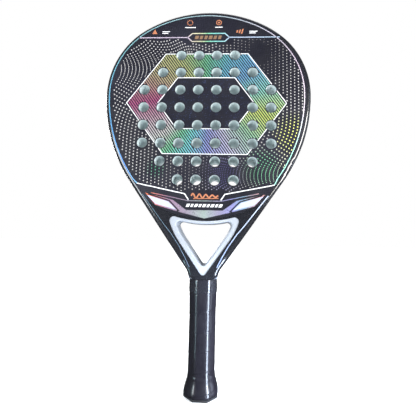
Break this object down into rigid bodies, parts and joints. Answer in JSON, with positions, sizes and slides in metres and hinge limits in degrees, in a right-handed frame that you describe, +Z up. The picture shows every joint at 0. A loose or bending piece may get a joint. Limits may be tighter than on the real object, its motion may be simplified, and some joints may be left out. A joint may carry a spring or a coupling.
{
  "type": "padel racket",
  "caption": "Padel racket with a perforated teardrop head, an open triangular throat and a wrapped eight-sided handle.",
  "frame": {"origin": "middle of the butt's flat end", "axes": "+Z up the racket's length towards the crown, -Y out of the front face, +X to the right seen from the front"},
  "size_m": [0.247, 0.0404, 0.455],
  "materials": {
    "gloss_frame": "high gloss clear coat over black carbon",
    "printed_skin": "satin gloss clear coat over near-black fibre",
    "pearl_lining": "pearl white gloss paint",
    "core_foam": "closed-cell foam, cut surface",
    "handle_foam": "moulded rigid foam",
    "grip_wrap": "smooth glossy synthetic leather strip",
    "finishing_tape": "glossy black adhesive tape",
    "cap_plastic": "fine-grained moulded plastic",
    "foil_print": "rainbow foil print under clear coat",
    "ink_print": "silver-grey and coloured ink under clear coat"
  },
  "bodies": {
    "root": {"frame_tube": "gloss_frame", "throat_loop": "pearl_lining", "bridge_shell": "gloss_frame", "bridge_foam": "handle_foam", "core": "core_foam", "front_skin": "printed_skin", "rear_skin": "printed_skin", "handle_spacer": "handle_foam", "handle_shell_front": "handle_foam", "handle_shell_rear": "handle_foam", "butt_cap": "cap_plastic", "base_grip": "grip_wrap", "finishing_tape": "finishing_tape"}
  },
  "joints": []
}
